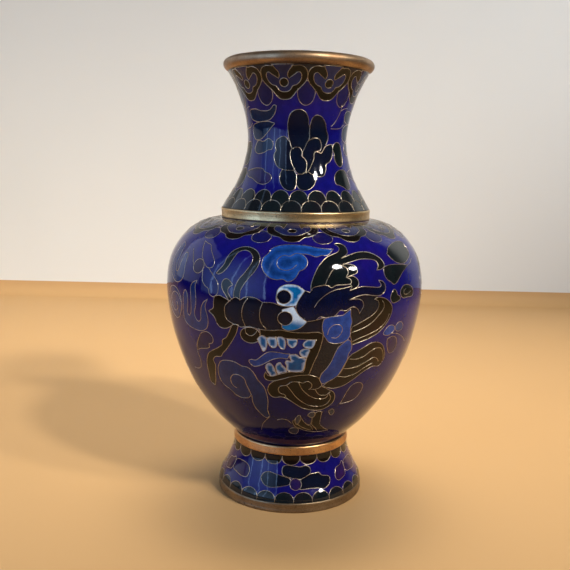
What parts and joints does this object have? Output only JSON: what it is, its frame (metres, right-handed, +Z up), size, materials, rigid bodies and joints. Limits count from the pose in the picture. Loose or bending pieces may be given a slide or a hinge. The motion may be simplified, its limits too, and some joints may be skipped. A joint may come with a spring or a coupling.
{
  "type": "cloisonne vase",
  "caption": "Footed cloisonne vase with a flared neck, a full rounded body and brass rings, enamelled in deep blue with a dragon among clouds, lotus borders and cloud-collar borders.",
  "frame": {"origin": "centre of the foot's flat underside, on the surface that the vase stands on", "axes": "+Z up along the vase's axis, -Y towards the front with the dragon's face, +X to the viewer's right"},
  "size_m": [0.0902, 0.0905, 0.1515],
  "materials": {
    "picture_enamel": "fired glass enamel in wire cells, ground flush and polished to a high gloss, with a few small pits",
    "counter_enamel": "plain blue fired enamel, glossy with a slight orange peel",
    "copper": null,
    "ring_brass": "turned brass with worn gilding, warm brown tarnish and dark spots",
    "cloison_brass": "flat wire ground flush with the enamel and polished"
  },
  "bodies": {
    "root": {"base_enamel": "counter_enamel", "base_lining": "counter_enamel", "base_plate": "copper", "belly_shell": "copper", "body_enamel": "picture_enamel", "body_lining": "counter_enamel", "cloud_comb_wire": "cloison_brass", "cloud_low_wire": "cloison_brass", "cloud_top_wire": "cloison_brass", "dragon_beard_wire": "cloison_brass", "dragon_body_wire": "cloison_brass", "dragon_brow_wire": "cloison_brass", "dragon_cheek_wire": "cloison_brass", "dragon_chin_whisker_wire": "cloison_brass", "dragon_frill_wire": "cloison_brass", "dragon_horn_wire": "cloison_brass", "dragon_jaw_wire": "cloison_brass", "dragon_long_whisker_wire": "cloison_brass", "dragon_lower_eye_wire": "cloison_brass", "dragon_lower_mane_wire": "cloison_brass", "dragon_nose_wire": "cloison_brass", "dragon_nostril_wire": "cloison_brass", "dragon_snout_wire": "cloison_brass", "dragon_upper_eye_wire": "cloison_brass", "dragon_upper_mane_wire": "cloison_brass", "foot_collar": "ring_brass", "foot_enamel": "picture_enamel", "foot_flower_1_wire": "cloison_brass", "foot_flower_2_wire": "cloison_brass", "foot_flower_3_wire": "cloison_brass", "foot_lining": "counter_enamel", "foot_rim": "ring_brass", "foot_scallops_lower_wire": "cloison_brass", "foot_scallops_upper_wire": "cloison_brass", "foot_shell": "copper", "lip_ring": "ring_brass", "neck_collar": "ring_brass", "neck_enamel": "picture_enamel", "neck_lining": "counter_enamel", "neck_lotus_heart_1_wire": "cloison_brass", "neck_lotus_heart_2_wire": "cloison_brass", "neck_lotus_heart_3_wire": "cloison_brass", "neck_lotus_left_1_wire": "cloison_brass", "neck_lotus_left_2_wire": "cloison_brass", "neck_lotus_left_3_wire": "cloison_brass", "neck_lotus_right_1_wire": "cloison_brass", "neck_lotus_right_2_wire": "cloison_brass", "neck_lotus_right_3_wire": "cloison_brass", "neck_lotus_top_1_wire": "cloison_brass", "neck_lotus_top_2_wire": "cloison_brass", "neck_lotus_top_3_wire": "cloison_brass", "neck_ruyi_wire": "cloison_brass", "neck_scales_lower_wire": "cloison_brass", "neck_scales_upper_wire": "cloison_brass", "neck_shell": "copper", "shoulder_ruyi_wire": "cloison_brass", "shoulder_shell": "copper"}
  },
  "joints": []
}
